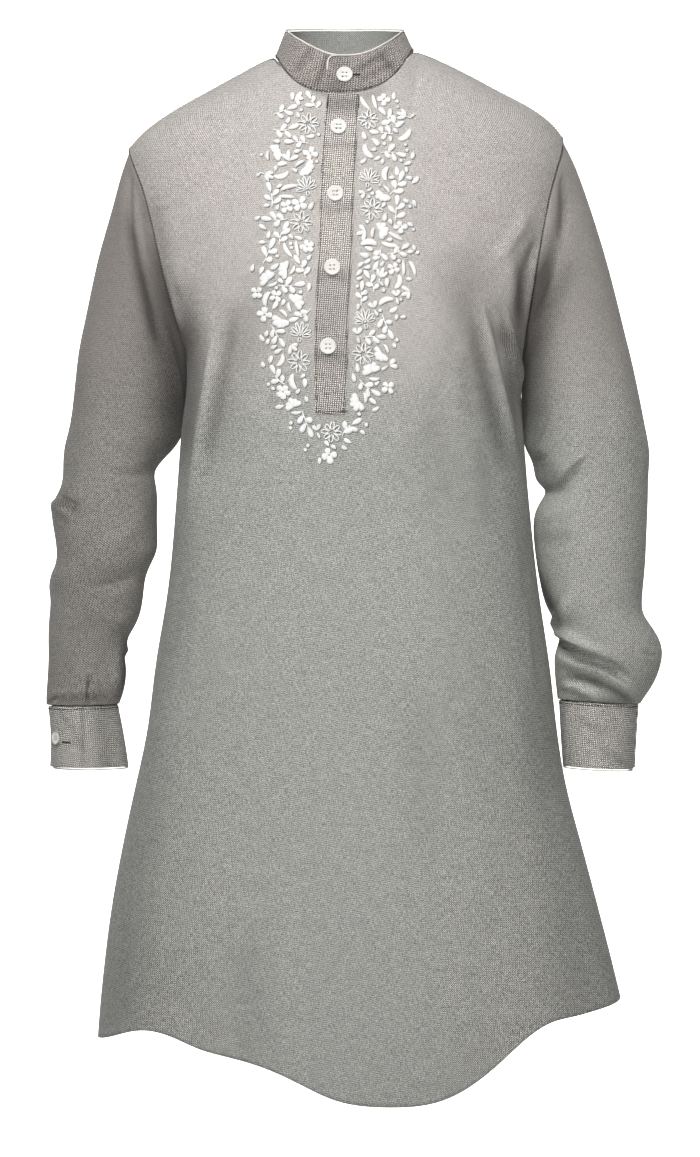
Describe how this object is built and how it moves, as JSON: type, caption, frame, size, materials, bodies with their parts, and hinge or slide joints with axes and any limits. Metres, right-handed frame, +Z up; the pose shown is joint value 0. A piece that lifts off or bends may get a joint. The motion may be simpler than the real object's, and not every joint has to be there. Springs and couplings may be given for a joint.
{
  "type": "kurta tunic",
  "caption": "Long-sleeved kurta tunic with a stand collar, half button placket, white floral embroidery, shirt cuffs and a curved hem, in its worn hollow form.",
  "frame": {"origin": "middle of the neck at the height of the shoulders, where the garment hangs on its wearer", "axes": "+X towards the wearer's left, -Y out of the front, +Z up"},
  "size_m": [0.5958, 0.2513, 1.031],
  "materials": {
    "body_cloth": "woven grey cotton, matte",
    "band_cloth": "woven grey cotton, a shade darker, matte",
    "cord": "cream cotton piping",
    "button": "white resin, satin"
  },
  "bodies": {
    "root": {"front": "body_cloth", "back": "body_cloth", "sleeve_right": "body_cloth", "sleeve_left": "body_cloth", "cuff_right": "body_cloth", "cuff_left": "body_cloth", "collar": "band_cloth", "placket": "band_cloth", "piping_collar": "cord", "piping_cuff_right": "cord", "piping_cuff_left": "cord", "button_1": "button", "button_2": "button", "button_3": "button", "button_4": "button", "button_5": "button", "button_cuff_right": "button", "button_cuff_left": "button"}
  },
  "joints": []
}
